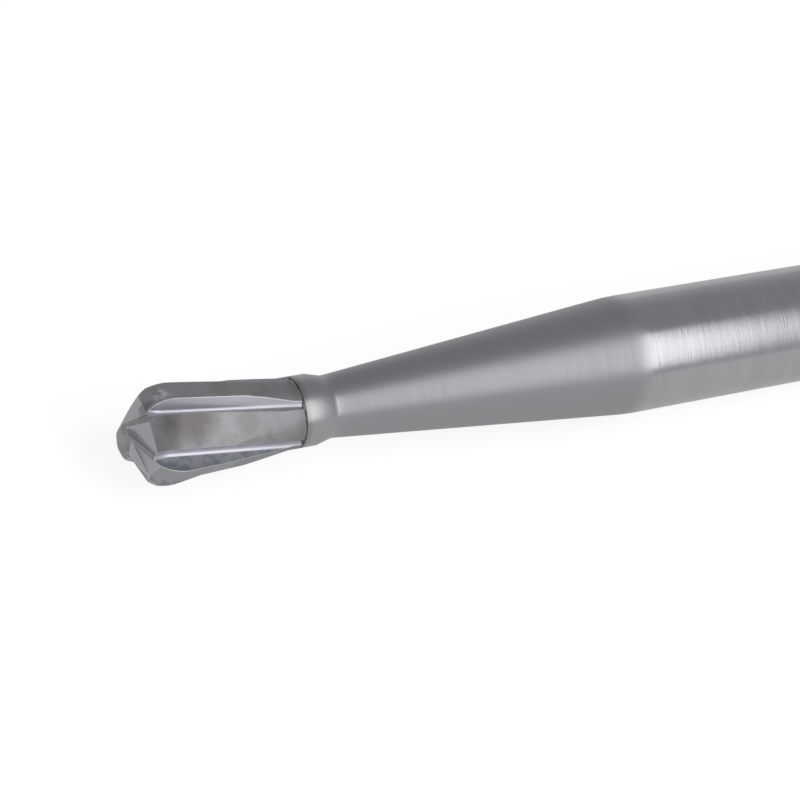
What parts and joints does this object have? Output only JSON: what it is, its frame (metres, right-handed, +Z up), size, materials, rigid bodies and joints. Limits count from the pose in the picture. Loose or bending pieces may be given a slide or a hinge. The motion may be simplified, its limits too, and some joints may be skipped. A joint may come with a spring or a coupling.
{
  "type": "dental bur",
  "caption": "Pear-headed carbide cutting bur with slightly slanted flutes, brazed to a steel shank with a tapered neck and a plain round friction-grip end.",
  "frame": {"origin": "on the surface that the bur lies on, under the middle of its length", "axes": "+X along the axis from the cutting tip to the shank's end, +Z up with the bur lying on its shank, -Y towards the first blade"},
  "size_m": [0.019, 0.0016, 0.0016],
  "materials": {
    "carbide": "ground, with brownish stains",
    "braze": "dull, darkened",
    "steel": "ground and polished, with fine marks around the shank"
  },
  "bodies": {
    "root": {"carbide_head": "carbide", "braze_joint": "braze", "steel_shank": "steel"}
  },
  "joints": []
}
